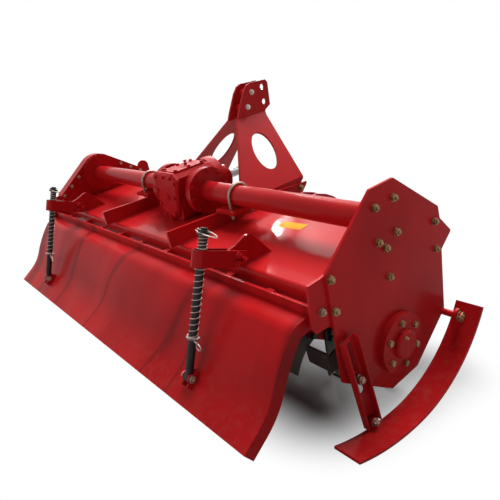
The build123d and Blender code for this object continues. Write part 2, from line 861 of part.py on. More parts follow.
# Strap brackets, looped round the rods, and the gussets that carry them on the hood
with BuildPart() as strap:
    with BuildSketch(rod_plane.offset(rod_span - strap_height / 2)):
        with Locations((0, -loop_back)):
            Circle(strap_half + strap_sheet)
            Rectangle(
                (strap_half + strap_sheet) * 2, strap_reach + loop_back, align=(Align.CENTER, Align.MIN)
            )
            Circle(strap_half, mode=Mode.SUBTRACT)
            Rectangle(
                strap_half * 2, strap_reach + loop_back, align=(Align.CENTER, Align.MIN), mode=Mode.SUBTRACT
            )
    extrude(amount=strap_height)
paired["rod_strap"] = strap.part

with BuildPart() as gusset:
    with BuildSketch(across(rod_x - gusset_sheet / 2)) as gusset_outline:
        with BuildLine():
            Polyline(
                (lip_y - 46, deck_z + 21),
                (lip_y - 40, deck_z + 69),
                (lip_y - 7, deck_z + 75),
                gusset_apex,
                (gusset_apex[0] + 75, deck_z),
                (lip_y + deck_bend, deck_z),
                close=True,
            )
        make_face()
        fillet(gusset_outline.vertices().sort_by(Axis.Y)[-1], gusset_round)
    extrude(amount=gusset_sheet)
    with BuildSketch(rod_side.offset(-strap_half)):
        with Locations((strap_reach, rod_span)):
            Rectangle(strap_height, strap_height, align=(Align.MAX, Align.CENTER))
    extrude(amount=strap_half * 2)
paired["rod_gusset"] = gusset.part

# Skids: a long curved runner on a front pin, its depth set by a slotted strut at the rear
toe_centre = (heel_centre[0], toe_radius - heel_drop)
floor = -rotor_drop * cos(radians(lean)) - blade_reach * cos(radians(phase_step / 2))
pin_height = skid_pin[0] * sin(radians(lean)) + skid_pin[1] * cos(radians(lean))
heel_span = hypot(*heel_centre)
skid_turn = 90 - lean + degrees(acos((floor + heel_radius - pin_height) / heel_span))
skid_turn -= degrees(atan2(heel_centre[1], heel_centre[0]))
skid_way = (0, cos(radians(skid_turn)), sin(radians(skid_turn)))
skid_place = Plane(origin=(0, *skid_pin), x_dir=skid_way, z_dir=(1, 0, 0))
strut_local = skid_place.to_local_coords(Vector(0, *strut_pin))

with BuildPart() as skid:
    with BuildSketch(skid_place.offset(skid_in)):
        with BuildLine() as runner_line:
            CenterArc(toe_centre, toe_radius, toe_end, -90 - toe_end)
            CenterArc(heel_centre, heel_radius, -90, heel_end + 90)
            runner_path = runner_line.wires()[0]
            offset(runner_path, amount=skid_sheet, side=Side.RIGHT)
        make_face()
    extrude(amount=skid_width)
    with BuildSketch(skid_place.offset(skid_ear_x)):
        Circle(skid_ear_radius)
        with BuildLine():
            Polyline((-skid_ear_radius, 0), (skid_ear_radius, 0), (30, -50), (-45, -95), close=True)
        make_face()
        with Locations(toe_centre):
            Circle(toe_radius - skid_sheet, mode=Mode.INTERSECT)
    extrude(amount=skid_ear_sheet)
    ear_x = strut_web_x + strut_sheet + skid_ear_radius / 4
    with BuildSketch(skid_place.offset(ear_x)):
        with Locations((strut_local.X, strut_local.Y)):
            Circle(strut_pin_radius * 2)
            Rectangle(strut_pin_radius * 4, skid_ear_radius * 4, align=(Align.CENTER, Align.MAX))
        with Locations(heel_centre):
            Circle(heel_radius - skid_sheet, mode=Mode.INTERSECT)
    extrude(amount=skid_ear_sheet)
    with BuildSketch(skid_place.offset(strut_web_x - strut_sheet)):
        with Locations((strut_local.X, strut_local.Y)):
            Circle(strut_pin_radius)
    extrude(amount=ear_x - strut_web_x + strut_sheet)
    with BuildSketch(skid_place.offset(skid_ear_x)):
        Circle(skid_pin_radius + pin_gap)
    extrude(amount=skid_ear_sheet, mode=Mode.SUBTRACT)
paired["skid"] = skid.part

strut_rise = (strut_stud[0] - strut_pin[0], strut_stud[1] - strut_pin[1])
strut_span = hypot(*strut_rise)
strut_plane = Plane(
    origin=(0, *strut_pin),
    x_dir=(0, strut_rise[0] / strut_span, strut_rise[1] / strut_span),
    z_dir=(1, 0, 0),
)
with BuildPart() as strut:
    with BuildSketch(strut_plane.offset(strut_web_x)):
        with Locations((-strut_tail, 0)):
            Rectangle(strut_tail + strut_top, strut_half * 2, align=(Align.MIN, Align.CENTER))
    extrude(amount=strut_depth)
    with BuildSketch(strut_plane.offset(strut_web_x + strut_sheet)):
        with Locations((-strut_tail, 0)):
            Rectangle(
                strut_tail + strut_top, (strut_half - strut_sheet) * 2, align=(Align.MIN, Align.CENTER)
            )
    extrude(amount=strut_depth, mode=Mode.SUBTRACT)
    with BuildSketch(strut_plane.offset(strut_web_x)):
        with Locations(((slot_start + slot_end) / 2, 0)):
            SlotCenterToCenter(slot_end - slot_start - slot_half * 2, slot_half * 2)
        Circle(strut_pin_radius + pin_gap)
    extrude(amount=strut_sheet, mode=Mode.SUBTRACT)
paired["strut"] = strut.part

for name, right_piece in paired.items():
    pieces[f"{name}_right"] = right_piece
    pieces[f"{name}_left"] = mirror(right_piece, about=Plane.YZ)

# Parked stance: leaned back, lowest point on the floor, box centred over the origin
leaned = {name: piece.moved(Location((0, 0, 0), (lean, 0, 0))) for name, piece in pieces.items()}
boxes = [piece.bounding_box() for piece in leaned.values()]
shift_x = -(min(box.min.X for box in boxes) + max(box.max.X for box in boxes)) / 2
shift_y = -(min(box.min.Y for box in boxes) + max(box.max.Y for box in boxes)) / 2
shift_z = -min(box.min.Z for box in boxes)
print("shift", shift_x, shift_y, shift_z, "skid turn", skid_turn)

os.makedirs("parts", exist_ok=True)
for name, piece in leaned.items():
    parked = piece.moved(Location((shift_x, shift_y, shift_z)))
    parked.label = name
    export_step(parked, f"parts/{name}.step")
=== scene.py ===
import json
import math

import bpy
from mathutils import Matrix, Vector


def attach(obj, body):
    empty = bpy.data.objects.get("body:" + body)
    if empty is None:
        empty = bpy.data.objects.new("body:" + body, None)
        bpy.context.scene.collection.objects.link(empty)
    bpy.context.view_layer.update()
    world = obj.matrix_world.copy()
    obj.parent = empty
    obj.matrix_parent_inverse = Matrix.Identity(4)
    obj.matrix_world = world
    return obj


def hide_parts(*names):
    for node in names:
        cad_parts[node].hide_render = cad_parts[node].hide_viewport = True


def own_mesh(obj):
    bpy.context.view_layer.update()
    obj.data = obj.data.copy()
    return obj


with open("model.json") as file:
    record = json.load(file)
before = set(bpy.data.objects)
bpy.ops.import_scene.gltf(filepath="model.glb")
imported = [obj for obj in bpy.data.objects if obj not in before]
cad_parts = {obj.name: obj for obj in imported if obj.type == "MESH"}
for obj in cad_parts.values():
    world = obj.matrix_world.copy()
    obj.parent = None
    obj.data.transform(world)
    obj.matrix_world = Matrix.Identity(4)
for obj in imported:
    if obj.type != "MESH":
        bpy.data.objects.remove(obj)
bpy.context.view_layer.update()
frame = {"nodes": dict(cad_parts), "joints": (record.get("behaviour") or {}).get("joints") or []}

print("frame loaded")

# Sizes below are mm on the level machine, from the middle of its cross tube.
# The joints of the frame say how it stands when parked, and where its pins are.
rotorDrop = 395.0
joints = {joint["name"]: joint for joint in frame["joints"]}
inputAxis = joints["input_spin"]["axis"]
lean = round(math.degrees(math.atan2(inputAxis[2], inputAxis[1])), 1)
leanTurn = Matrix.Rotation(math.radians(lean), 4, "X")
rotorCentre = Vector((0, 0, -rotorDrop))
tubeCentre = Vector(joints["rotor_spin"]["pos_m"]) * 1000 - leanTurn @ rotorCentre
stand = Matrix.Translation(tubeCentre) @ leanTurn

right, left, rear, front, up, down = (1, 0, 0), (-1, 0, 0), (0, -1, 0), (0, 1, 0), (0, 0, 1), (0, 0, -1)
bothSides = (("right", 1), ("left", -1))


def pinOf(jointName):
    place = stand.inverted() @ (Vector(joints[jointName]["pos_m"]) * 1000)
    return [round(value, 1) for value in place]


def placed(point, turn=Matrix.Identity(4)):
    return Matrix.Scale(0.001, 4) @ stand @ Matrix.Translation(Vector(point)) @ turn


def aimed(toward):
    return Vector(toward).to_track_quat("Z", "Y").to_matrix().to_4x4()


# Shader maths: a socket that adds, multiplies and compares like a number
class Term:
    def __init__(self, nodes, socket):
        self.nodes = nodes
        self.socket = socket

    def join(self, operation, other, swap=False):
        values = [other, self] if swap else [self, other]
        return self.nodes.node("ShaderNodeMath", {"operation": operation}, values)

    def __add__(self, other):
        return self.join("ADD", other)

    def __sub__(self, other):
        return self.join("SUBTRACT", other)

    def __rsub__(self, other):
        return self.join("SUBTRACT", other, swap=True)

    def __mul__(self, other):
        return self.join("MULTIPLY", other)

    __radd__ = __add__

    def between(self, low, high):  # 0 below low, 1 above high
        settings = {"interpolation_type": "SMOOTHSTEP"}
        return self.nodes.node("ShaderNodeMapRange", settings, {"Value": self, 1: low, 2: high})


# The nodes of a world or a material: node() makes any kind, with its sockets set or linked
class Nodes:
    def __init__(self, holder, outputKind):
        holder.use_nodes = True
        self.tree = holder.node_tree
        self.tree.nodes.clear()
        self.output = self.tree.nodes.new(outputKind)

    def fill(self, made, socket, value):
        if isinstance(value, Term):
            self.tree.links.new(value.socket, made.inputs[socket])
        else:
            made.inputs[socket].default_value = value

    def node(self, kind, settings, sockets, pick=0):
        made = self.tree.nodes.new(kind)
        for setting, value in settings.items():
            setattr(made, setting, value)
        pairs = sockets.items() if isinstance(sockets, dict) else enumerate(sockets)
        for socket, value in pairs:
            self.fill(made, socket, value)
        return Term(self, made.outputs[pick])

    def vector(self, operation, values, pick="Vector"):
        return self.node("ShaderNodeVectorMath", {"operation": operation}, values, pick)

    def blend(self, share, first, second):
        return self.node("ShaderNodeMix", {"data_type": "RGBA"}, {0: share, 6: first, 7: second}, 2)


class Finish(Nodes):
    def __init__(self, name, surface):
        self.material = bpy.data.materials.new(name)
        super().__init__(self.material, "ShaderNodeOutputMaterial")
        self.shader = self.tree.nodes.new("ShaderNodeBsdfPrincipled")
        self.surface = Term(self, self.shader.outputs[0])
        self.fill(self.output, "Surface", self.surface)
        for socket, value in surface.items():
            self.set(socket, value)
        self.place = self.node("ShaderNodeTexCoord", {}, {}, "Object")

    def set(self, socket, value):
        self.fill(self.shader, socket, value)

    def noise(self, scale, detail=3.0, roughness=0.5, stretch=(1, 1, 1)):
        where = self.node("ShaderNodeMapping", {}, {"Vector": self.place, "Scale": stretch})
        sockets = {"Vector": where, "Scale": scale, "Detail": detail, "Roughness": roughness}
        return self.node("ShaderNodeTexNoise", {}, sockets, "Fac")

    def relief(self, height):  # in metres
        bump = self.node("ShaderNodeBump", {}, {"Height": height, "Distance": 1.0, "Strength": 1.0})
        self.set("Normal", bump)


# Finishes
paintLook = {
    "surface": {"Specular IOR Level": 0.05, "Coat Roughness": 0.08, "Coat IOR": 1.12},
    "red": (0.46, 0.0095, 0.0115, 1), "deep": (0.35, 0.0065, 0.0085, 1), "patchScale": 3.0,
    "dust": (0.3, 0.075, 0.05, 1), "dustScale": 38.0, "dustHeights": (0.02, 0.34), "dustShare": 0.2,
    # streak: dark bands painted into the board's colour, painted reflection and shade of the wavy sheet
    "paintedStreak": (0.13, 0.004, 0.005, 1), "paintedStreakScale": 1.7, "paintedStreakWidth": 0.035,
    "paintedStreakStretch": (2.6, 0.5, 0.5), "peelScale": 260.0, "peelDepth": 0.00012, "waveScale": 2.4,
    "grainScale": 190.0,
}


def redPaint(name, roughness=0.3, coat=0.4, waves=0.0, stretch=(1, 1, 1), grain=0.0, paintedStreaks=0.0):
    look = paintLook
    finish = Finish(name, look["surface"])
    patch = finish.noise(look["patchScale"], 2.0)
    fine = finish.noise(look["dustScale"], 4.0, 0.6)
    height = finish.node("ShaderNodeSeparateXYZ", {}, {"Vector": finish.place}, "Z")
    low = 1 - height.between(*look["dustHeights"])
    dusty = low * fine.between(0.42, 0.72) * look["dustShare"]
    tone = finish.blend(patch.between(0.35, 0.7), look["red"], look["deep"])
    # Painted reflection and shade: dark wavy streaks blended into the base colour
    if paintedStreaks:
        paintedStreakNoise = finish.noise(look["paintedStreakScale"], 1.0, 0.4, look["paintedStreakStretch"])
        paintedStreak = 1 - (paintedStreakNoise - 0.5).join("ABSOLUTE", 0).between(0.0, look["paintedStreakWidth"])
        tone = finish.blend(paintedStreak * paintedStreaks, tone, look["paintedStreak"])
    finish.set("Base Color", finish.blend(dusty, tone, look["dust"]))
    finish.set("Roughness", roughness + fine * 0.08 + dusty * 0.35)
    finish.set("Coat Weight", coat - dusty * coat)
    relief = finish.noise(look["peelScale"], 1.0) * look["peelDepth"]
    if waves:
        relief = relief + finish.noise(look["waveScale"], 1.5, 0.4, stretch) * waves
    if grain:
        relief = relief + finish.noise(look["grainScale"], 5.0, 0.65) * grain
    finish.relief(relief)
    return finish.material


def plainMetal(name, bright, dark, rough, scale, metallic=1.0, specular=0.5):
    finish = Finish(name, {"Specular IOR Level": specular, "Metallic": metallic})
    cloud = finish.noise(scale, 4.0, 0.6)
    fine = finish.noise(scale * 9, 3.0)
    finish.set("Base Color", finish.blend(cloud.between(0.3, 0.7), bright, dark))
    finish.set("Roughness", rough + fine * 0.18)
    finish.relief(fine * 0.0002 + cloud * 0.0002)
    return finish.material


def signPaint(name):
    look = {"clean": (0.72, 0.36, 0.022, 1), "worn": (0.58, 0.26, 0.02, 1)}
    finish = Finish(name, {"Specular IOR Level": 0.05})
    cloud = finish.noise(30.0, 4.0, 0.6)
    fine = finish.noise(180.0, 3.0)
    finish.set("Base Color", finish.blend(cloud.between(0.35, 0.75), look["clean"], look["worn"]))
    finish.set("Roughness", 0.5 + fine * 0.2)
    finish.relief(fine * 0.0002)
    return finish.material


def bladeFinish(name):
    # black scale at the flanges, then soil, and bare steel at the tips, by the reach from the axis in metres
    look = {
        "scale": (0.022, 0.022, 0.024, 1), "soil": (0.085, 0.066, 0.052, 1), "bare": (0.15, 0.145, 0.14, 1),
        "soilReach": (0.13, 0.2), "bareReach": (0.24, 0.262),
    }
    finish = Finish(name, {"Specular IOR Level": 0.4})
    cloud = finish.noise(26.0, 4.0, 0.6)
    fine = finish.noise(150.0, 4.0, 0.6)
    fromAxis = finish.vector("SUBTRACT", [finish.place, tuple(joints["rotor_spin"]["pos_m"])])
    reach = finish.vector("LENGTH", [finish.vector("MULTIPLY", [fromAxis, (0, 1, 1)])], "Value")
    soiled = (reach + cloud * 0.06).between(*look["soilReach"])
    bare = (reach + fine * 0.03).between(*look["bareReach"])
    tone = finish.blend(soiled * 0.8, look["scale"], look["soil"])
    finish.set("Base Color", finish.blend(bare, tone, look["bare"]))
    finish.set("Metallic", 0.35 + bare * 0.6)
    finish.set("Roughness", 0.42 + fine * 0.25 - bare * 0.15)
    finish.relief(cloud * 0.0004 + fine * 0.0003)
    return finish.material


sheetRed = redPaint("sheetRed", waves=0.0012, coat=1.0)
# the board carries the painted reflection and shade streaks
boardRed = redPaint("boardRed", waves=0.016, stretch=(1.5, 0.5, 0.5), paintedStreaks=0.6, coat=0.2)
plateRed = redPaint("plateRed", waves=0.003, coat=0.3)
castRed = redPaint("castRed", grain=0.0022, roughness=0.38)
zincGold = plainMetal("zincGold", (0.34, 0.22, 0.115, 1), (0.17, 0.09, 0.045, 1), 0.42, 60)
zincBrown = plainMetal("zincBrown", (0.36, 0.235, 0.185, 1), (0.2, 0.12, 0.09, 1), 0.4, 60)
zincPale = plainMetal("zincPale", (0.62, 0.5, 0.46, 1), (0.36, 0.27, 0.24, 1), 0.34, 50)
springWire = plainMetal("springWire", (0.44, 0.36, 0.33, 1), (0.24, 0.18, 0.16, 1), 0.36, 90)
rodBlack = plainMetal("rodBlack", (0.009, 0.008, 0.008, 1), (0.022, 0.017, 0.015, 1), 0.42, 30, 0.0, 0.22)
bladeSteel = bladeFinish("bladeSteel")
signYellow = signPaint("signYellow")
shaftSteel = plainMetal("shaftSteel", (0.5, 0.5, 0.49, 1), (0.3, 0.3, 0.29, 1), 0.3, 40)

# Which finish a part gets, by the start of its name; the rest are sheetRed
partFinishes = {
    "board": boardRed, "blades": bladeSteel, "input_shaft": shaftSteel,
    "gearbox_": castRed, "input_housing": castRed, "bearing_housing": castRed, "mast_spacers": castRed,
    "side_plate": plateRed, "gear_case": plateRed, "hinge_plate": plateRed, "skid": plateRed,
    "strut": plateRed, "rod_right": rodBlack, "rod_left": rodBlack, "lower_spring": springWire,
    "upper_spring": springWire,
}
for nodeName, node in frame["nodes"].items():
    look = next((finish for start, finish in partFinishes.items() if nodeName.startswith(start)), sheetRed)
    node.data.materials.clear()
    node.data.materials.append(look)
print("finishes ready")


def pickOnly(*chosen):
    bpy.ops.object.select_all(action="DESELECT")
    for obj in chosen:
        obj.select_set(True)
    bpy.context.view_layer.objects.active = chosen[0]


def applyPlace():
    bpy.ops.object.transform_apply(location=True, rotation=True, scale=True)


def settle(obj, name, look, body):
    obj.name = name
    obj.data.name = name
    obj.data.materials.clear()
    obj.data.materials.append(look)
    pickOnly(obj)
    applyPlace()
    bpy.ops.object.shade_smooth_by_angle(angle=math.radians(35))
    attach(obj, body)
    return obj


def gather(name, parts, look, body):
    pickOnly(*parts)
    bpy.ops.object.join()
    return settle(bpy.context.object, name, look, body)


# Camera
view = {"place": (1.8308, -1.1506, 0.8619), "toward": (-0.7603, 0.6058, -0.2345), "lens": 36.38}
bpy.ops.object.camera_add(location=view["place"])
camera = bpy.context.object
camera.rotation_euler = Vector(view["toward"]).to_track_quat("-Z", "Y").to_euler()
camera.data.lens = view["lens"]
bpy.context.scene.camera = camera

# Lamps
lights = {
    "key": {"toward": (-0.2, 0.38, 0.9), "strength": 5.2, "angle": 46},
    "glint": {"toward": (-0.751, 0.448, 0.49), "strength": 0.8, "angle": 4},
    "fill": {"toward": (-0.1, -0.86, 0.5), "strength": 0.7, "angle": 50},
}
for lampName, lamp in lights.items():
    bpy.ops.object.light_add(type="SUN", location=Vector(lamp["toward"]) * 6)
    sun = bpy.context.object
    sun.name = lampName
    sun.rotation_euler = Vector(lamp["toward"]).to_track_quat("Z", "Y").to_euler()
    sun.data.energy = lamp["strength"]
    sun.data.angle = math.radians(lamp["angle"])

# Room: a white sky that fills only a little, and a floor that fades to white around the shade; inside it the
# camera sees a darker floor tone, painted shade
room = {
    "fillLevel": 0.15, "paintedShadeFloorTone": 0.2, "floorBounce": 0.4,
    "shadeMiddle": (0, 0.16, 0), "shadeHalf": (0.84, 0.24, 0), "whiteFrom": 0.0, "whiteTo": 0.34,
}
paper = (1, 1, 1, 1)
world = bpy.data.worlds.new("studio")
bpy.context.scene.world = world
air = Nodes(world, "ShaderNodeOutputWorld")
rayKinds = ("Is Camera Ray", "Is Transmission Ray", "Is Glossy Ray")
seen, through, glossy = [air.node("ShaderNodeLightPath", {}, {}, kind) for kind in rayKinds]
bright = seen.join("MAXIMUM", through).join("MAXIMUM", glossy)
level = air.node("ShaderNodeMapRange", {}, {"Value": bright, "To Min": room["fillLevel"], "To Max": 1.0})
air.fill(air.output, "Surface", air.node("ShaderNodeBackground", {}, {"Color": paper, "Strength": level}))

bpy.ops.mesh.primitive_plane_add(size=40, location=(0, 0, 0))
floor = bpy.context.object
floor.name = "studioFloor"
ground = Finish("studioGround", {"Roughness": 0.9, "Specular IOR Level": 0.1})
fromMiddle = ground.vector("ABSOLUTE", [ground.vector("SUBTRACT", [ground.place, room["shadeMiddle"]])])
beyond = ground.vector("MAXIMUM", [ground.vector("SUBTRACT", [fromMiddle, room["shadeHalf"]]), (0, 0, 0)])
openFloor = ground.vector("LENGTH", [beyond], "Value").between(room["whiteFrom"], room["whiteTo"])
# Painted shade: the camera sees a darker floor tone than the bounce uses, to deepen the shadow under the
# machine
groundSeen = ground.node("ShaderNodeLightPath", {}, {}, "Is Camera Ray")
bounceTone, paintedShadeTone = [(room[tone],) * 3 + (1,) for tone in ("floorBounce", "paintedShadeFloorTone")]
ground.set("Base Color", ground.blend(groundSeen, bounceTone, paintedShadeTone))
white = ground.node("ShaderNodeEmission", {}, {"Color": paper, "Strength": 1.0})
groundMix = ground.node("ShaderNodeMixShader", {}, [openFloor * groundSeen, ground.surface, white])
ground.fill(ground.output, "Surface", groundMix)
floor.data.materials.append(ground.material)

bpy.context.scene.view_settings.view_transform = "Standard"
print("camera, lamps and floor ready")

# Springs, wound round the rods; heights are along the rod, from its pin or past its bracket
springLook = {
    "wire": 1.4, "radius": 14.0, "sides": 8, "steps": 22, "keep": 0.65,
    "lowerStart": 124.0, "lowerGap": 30.0, "lowerTurns": 11,
    "upperStart": 26.0, "upperEnd": 68.0, "upperTurns": 4,
}
rodX, *rodPin = pinOf("rod_pivot_right")
strapPlace = (-388.5, -20.0)
rodRise = Vector((0, strapPlace[0] - rodPin[0], strapPlace[1] - rodPin[1]))
rodSpan = rodRise.length
rodUp = rodRise.normalized()
rodOut = Vector((0, rodUp.z, -rodUp.y))  # square to the rod, towards the front


def coil(sideSign, start, end, turns):
    look = springLook
    height = end - start - look["wire"] * 2
    bpy.ops.mesh.primitive_circle_add(
        vertices=look["sides"], radius=look["wire"], location=(look["radius"], 0, 0),
        rotation=(math.pi / 2, 0, 0),
    )
    wound = bpy.context.object
    applyPlace()
    screw = wound.modifiers.new("wind", "SCREW")
    screw.axis = "Z"
    screw.angle = math.tau
    screw.screw_offset = height / turns
    screw.iterations = turns
    screw.steps = look["steps"]
    screw.render_steps = look["steps"]
    screw.use_merge_vertices = False
    bpy.ops.object.modifier_apply(modifier="wind")
    bpy.ops.object.mode_set(mode="EDIT")
    bpy.ops.mesh.select_mode(type="EDGE")
    bpy.ops.mesh.select_all(action="DESELECT")
    bpy.ops.mesh.select_non_manifold()
    bpy.ops.mesh.fill_holes(sides=0)
    bpy.ops.mesh.select_all(action="SELECT")
    bpy.ops.mesh.normals_make_consistent(inside=False)
    bpy.ops.object.mode_set(mode="OBJECT")
    parts = [wound]
    for ringLevel in (0, height):
        bpy.ops.mesh.primitive_torus_add(
            major_radius=look["radius"], minor_radius=look["wire"], major_segments=look["steps"],
            minor_segments=look["sides"], location=(0, 0, ringLevel),
        )
        parts.append(bpy.context.object)
    pickOnly(*parts)
    bpy.ops.object.join()
    foot = Vector((sideSign * rodX, *rodPin)) + rodUp * (start + look["wire"])
    wound.matrix_world = placed(foot, rodUp.to_track_quat("Z", "X").to_matrix().to_4x4())
    return wound


for side, sign in bothSides:
    low = coil(sign, springLook["lowerStart"], rodSpan - springLook["lowerGap"], springLook["lowerTurns"])
    settle(low, f"lowerCoil_{side}", springWire, f"rod_{side}")
    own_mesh(low)
    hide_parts(f"lower_spring_{side}")
    topStart, topEnd = [rodSpan + springLook[past] for past in ("upperStart", "upperEnd")]
    top = coil(sign, topStart, topEnd, springLook["upperTurns"])
    settle(top, f"upperCoil_{side}", springWire, f"rod_{side}")
    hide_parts(f"upper_spring_{side}")
print("springs wound")

# Hexagon bolts with washers: one is modelled, then copied to each place
boltLook = {
    "across": 24.0, "head": 9.0, "chamfer": 1.6, "chamferRise": 0.96, "washer": 30.0, "washerSheet": 2.5,
    "end": 7.0, "endRadius": 7.2, "endChamfer": 1.2, "turnEach": 0.7,
}


def cylinder(radius, height, sides, level=0.0):
    bpy.ops.mesh.primitive_cylinder_add(
        vertices=sides, radius=radius, depth=height, location=(0, 0, level + height / 2)
    )
    return bpy.context.object


def editEnds(obj, bothEnds=False):
    # edit mode, with only the upper end or both ends of an upright shape picked
    pickOnly(obj)
    bpy.ops.object.mode_set(mode="EDIT")
    bpy.ops.mesh.select_mode(type="FACE")
    bpy.ops.mesh.select_all(action="DESELECT")
    bpy.ops.object.mode_set(mode="OBJECT")
    for face in obj.data.polygons:
        upright = abs(face.normal.z) if bothEnds else face.normal.z
        face.select = upright > 0.9
    bpy.ops.object.mode_set(mode="EDIT")


def hexBolt(sides, withEnd=False):
    look = boltLook
    washer = cylinder(look["washer"] / 2, look["washerSheet"], sides)
    head = cylinder(look["across"] / 2 / math.cos(math.pi / 6), look["head"], 6, look["washerSheet"])
    editEnds(head)
    bpy.ops.mesh.inset(thickness=look["chamfer"])
    bpy.ops.transform.translate(value=(0, 0, look["chamferRise"]))
    bpy.ops.mesh.inset(thickness=look["chamfer"])
    bpy.ops.object.mode_set(mode="OBJECT")
    parts = [head, washer]
    if withEnd:
        shank = cylinder(look["endRadius"], look["end"], 16, look["washerSheet"] + look["head"])
        editEnds(shank)
        bpy.ops.mesh.inset(thickness=look["endChamfer"])
        bpy.ops.transform.translate(value=(0, 0, look["endChamfer"]))
        bpy.ops.object.mode_set(mode="OBJECT")
        parts.append(shank)
    pickOnly(*parts)
    applyPlace()
    bpy.ops.object.join()
    return head


def scatter(pattern, name, places, look, body, size=1.0):
    # places: a point and the way the head points, on the level machine
    copies = []
    for index, (point, toward) in enumerate(places):
        copy = pattern.copy()
        copy.data = pattern.data.copy()
        bpy.context.collection.objects.link(copy)
        spin = Matrix.Rotation(index * boltLook["turnEach"], 4, "Z")
        copy.matrix_world = placed(point, aimed(toward) @ spin @ Matrix.Scale(size, 4))
        copies.append(copy)
    pickOnly(*copies)
    applyPlace()
    return gather(name, copies, look, body)


def ringOf(radius, count, x, centre, start=0.0):
    turns = [math.radians(start + 360 * index / count) for index in range(count)]
    return [(x, centre[0] + radius * math.cos(turn), centre[1] + radius * math.sin(turn)) for turn in turns]


def along(corners, pitch):
    # evenly spaced places along a line of corners
    places = []
    for first, second in zip(corners, corners[1:]):
        run = Vector(second) - Vector(first)
        count = max(1, round(run.length / pitch))
        places += [Vector(first) + run * index / count for index in range(count)]
    return places + [Vector(corners[-1])]


def facing(places, toward):
    return [(place, toward) for place in places]


headBolt = hexBolt(20)
nutBolt = hexBolt(20, withEnd=True)
smallBolt = hexBolt(8)
tubeAxis = (0, 0)
rotorAxis = (0, -rotorDrop)

# Right side plate, bearing housing, and the tubes' discs at the gearbox
plateBolts = {
    "x": 1000.0, "size": 0.82, "tubeY": (-41, 41), "tubeZ": (-50.5, 50.5),
    "spots": [(-239, -71), (-239, -164), (224, -90), (224, -181), (-12, -78), (-9, -170)],
}
plateSpots = plateBolts["spots"] + [(y, z) for y in plateBolts["tubeY"] for z in plateBolts["tubeZ"]]
plateSpots = [(plateBolts["x"], *place) for place in plateSpots]
scatter(nutBolt, "plateBolts_right", facing(plateSpots, right), zincGold, "frame", plateBolts["size"])

bearing = {"x": 1020.0, "radius": 70.0, "count": 6, "start": 30, "size": 0.72}
bearingSpots = ringOf(bearing["radius"], bearing["count"], bearing["x"], rotorAxis, bearing["start"])
scatter(headBolt, "bearingBolts", facing(bearingSpots, right), zincGold, "frame", bearing["size"])

tubeDisc = {"x": 150.0, "radius": 82.0, "count": 10, "start": 9, "size": 0.62}
discSpots = []
for sign, toward in ((1, right), (-1, left)):
    ring = ringOf(tubeDisc["radius"], tubeDisc["count"], sign * tubeDisc["x"], tubeAxis, tubeDisc["start"])
    discSpots += facing(ring, toward)
scatter(headBolt, "tubeDiscBolts", discSpots, castRed, "frame", tubeDisc["size"])

# Rim of the left gear case, and the tube's flange on its inner side
caseRim = {
    "inner": -940.0, "outer": -1000.0, "pitch": 62.0, "size": 0.62, "hoodTop": -95.0,
    "crown": 91.0, "crownTurns": (146, 128, 109, 90, 71, 52, 34),
    "rearSide": [(-36, -522), (-232, -378), (-234, -58)],
    "frontSide": [(234, -58), (234, -402), (76, -520), (-36, -522)],
    "flange": {"radius": 56.0, "count": 8, "start": 22.5},
}
crownSpots = [ringOf(caseRim["crown"], 1, 0, tubeAxis, turn)[0][1:] for turn in caseRim["crownTurns"]]
rimPlaces = along(caseRim["rearSide"] + crownSpots + caseRim["frontSide"], caseRim["pitch"])[:-1]
rimSpots = [((caseRim["inner"], *place), right) for place in rimPlaces if place[1] > caseRim["hoodTop"]]
rimSpots += [((caseRim["outer"], *place), left) for place in rimPlaces]
flange = caseRim["flange"]
flangeSpots = ringOf(flange["radius"], flange["count"], caseRim["inner"], tubeAxis, flange["start"])
rimSpots += facing(flangeSpots, right)
scatter(headBolt, "gearCaseBolts", rimSpots, zincBrown, "frame", caseRim["size"])

# Gearbox: rear cover, lid, and the ring round the input shaft
boxBolts = {
    "size": 0.55, "coverY": -118, "lidZ": 96, "lidX": (-43, 43), "lidY": (-70, -5, 60),
    "cover": [
        (-50, 82), (14, 84), (68, 82), (90, 60), (66, 0),
        (46, -66), (2, -88), (-30, -78), (-54, -34), (-54, 24),
    ],
    "noseY": 190, "noseZ": -10, "noseRadius": 38, "noseCount": 6,
}
coverSpots = [(x, boxBolts["coverY"], z) for x, z in boxBolts["cover"]]
lidSpots = [(x, y, boxBolts["lidZ"]) for x in boxBolts["lidX"] for y in boxBolts["lidY"]]
noseRing = ringOf(boxBolts["noseRadius"], boxBolts["noseCount"], boxBolts["noseY"], (boxBolts["noseZ"], 0))
noseSpots = [(x, y, z) for y, z, x in noseRing]
boxSpots = facing(coverSpots, rear) + facing(lidSpots, up) + facing(noseSpots, front)
scatter(headBolt, "gearboxBolts", boxSpots, castRed, "frame", boxBolts["size"])

